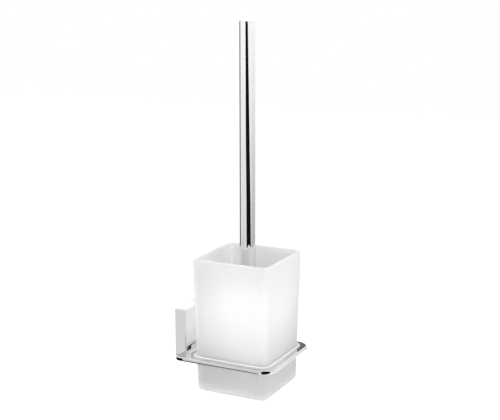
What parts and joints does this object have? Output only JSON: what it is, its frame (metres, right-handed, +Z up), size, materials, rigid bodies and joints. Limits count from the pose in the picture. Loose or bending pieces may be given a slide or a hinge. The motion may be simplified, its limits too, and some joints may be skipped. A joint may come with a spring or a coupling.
{
  "type": "toilet brush holder",
  "caption": "Wall-mounted toilet brush holder: a chromed wall cover and ring plate carry a square satin glass tumbler in which a long-handled brush stands.",
  "frame": {"origin": "on the wall plane, at the middle of the wall cover's back, on the wall plate's back face", "axes": "+Z up along the handle, +Y into the wall, -Y out into the room, +X to the right when facing the wall"},
  "size_m": [0.098, 0.119, 0.367],
  "materials": {
    "zinc_steel": "zinc-plated pressed steel",
    "chrome": "polished chrome plate",
    "screw_steel": "plain stainless steel",
    "liner_plastic": "translucent white moulding",
    "satin_glass": "satin etched outside and inside",
    "brass": "turned",
    "rubber": "matt",
    "core_plastic": "white moulding",
    "bristle_nylon": "white nylon filament"
  },
  "bodies": {
    "bracket": {"wall_plate": "zinc_steel", "wall_cover": "chrome", "cover_grub_screw": "screw_steel", "holder_ring": "chrome", "ring_screws": "screw_steel", "ring_liner": "liner_plastic"},
    "tumbler": {"tumbler": "satin_glass"},
    "brush": {"handle_tube": "chrome", "handle_top_plug": "chrome", "handle_spigot": "brass", "handle_seal": "rubber", "brush_core": "core_plastic", "bristles_upper": "bristle_nylon", "bristles_lower": "bristle_nylon", "bristles_end": "bristle_nylon"}
  },
  "joints": [
    {"name": "tumbler_lift", "type": "slide", "parent": "bracket", "child": "tumbler", "axis": [0, 0, 1], "range_m": [0, 0.06]},
    {"name": "brush_lift", "type": "slide", "parent": "tumbler", "child": "brush", "axis": [0, 0, 1], "range_m": [0, 0.14]}
  ]
}
